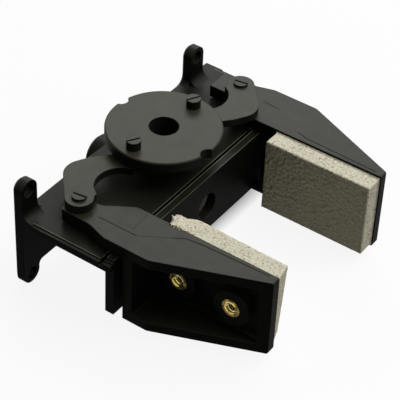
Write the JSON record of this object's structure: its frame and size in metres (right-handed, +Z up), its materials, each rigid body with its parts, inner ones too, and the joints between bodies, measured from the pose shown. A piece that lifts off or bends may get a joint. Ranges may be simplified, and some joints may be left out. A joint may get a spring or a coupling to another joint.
{
  "type": "robot claw gripper",
  "caption": "Parallel-jaw claw gripper with a crank disc, two hooked links, sliding hollow jaws with foam pads, and an eared flange for mounting.",
  "frame": {"origin": "crank axis at the underside of the deck", "axes": "+Z up along the crank axis, +Y towards the wrist side, jaws point to -Y and close along X"},
  "size_m": [0.097, 0.0834, 0.0415],
  "materials": {
    "frame_plastic": "satin",
    "moving_plastic": "satin",
    "brass": "turned",
    "foam": "matt foam"
  },
  "bodies": {
    "base": {"frame": "frame_plastic"},
    "crank": {"drive_disc": "moving_plastic", "left_disc_pin": "moving_plastic", "right_disc_pin": "moving_plastic"},
    "left_finger": {"left_jaw": "moving_plastic", "left_jaw_pin": "moving_plastic", "left_rear_insert": "brass", "left_front_insert": "brass", "left_pad": "foam"},
    "right_finger": {"right_jaw": "moving_plastic", "right_jaw_pin": "moving_plastic", "right_rear_insert": "brass", "right_front_insert": "brass", "right_pad": "foam"},
    "left_rod": {"left_link": "moving_plastic"},
    "right_rod": {"right_link": "moving_plastic"}
  },
  "joints": [
    {"name": "crank_turn", "type": "hinge", "parent": "base", "child": "crank", "pos_m": [0, 0, 0], "axis": [0, 0, -1], "range_deg": [0, 90.7]},
    {"name": "left_slide", "type": "slide", "parent": "base", "child": "left_finger", "axis": [1, 0, 0], "range_m": [0, 0.01742]},
    {"name": "right_slide", "type": "slide", "parent": "base", "child": "right_finger", "axis": [-1, 0, 0], "range_m": [0, 0.01742]},
    {"name": "left_link_turn", "type": "hinge", "parent": "left_finger", "child": "left_rod", "pos_m": [-0.037, 0.003, 0.009], "axis": [0, 0, 1], "range_deg": [0, 31.7]},
    {"name": "right_link_turn", "type": "hinge", "parent": "right_finger", "child": "right_rod", "pos_m": [0.037, -0.003, 0.009], "axis": [0, 0, 1], "range_deg": [0, 31.7]}
  ],
  "couplings": [
    {"joint": "left_slide", "follows": "crank_turn", "m_per_rad": 0.010997},
    {"joint": "right_slide", "follows": "crank_turn", "m_per_rad": 0.010997},
    {"joint": "left_link_turn", "follows": "crank_turn", "ratio": 0.34902},
    {"joint": "right_link_turn", "follows": "crank_turn", "ratio": 0.34902}
  ]
}
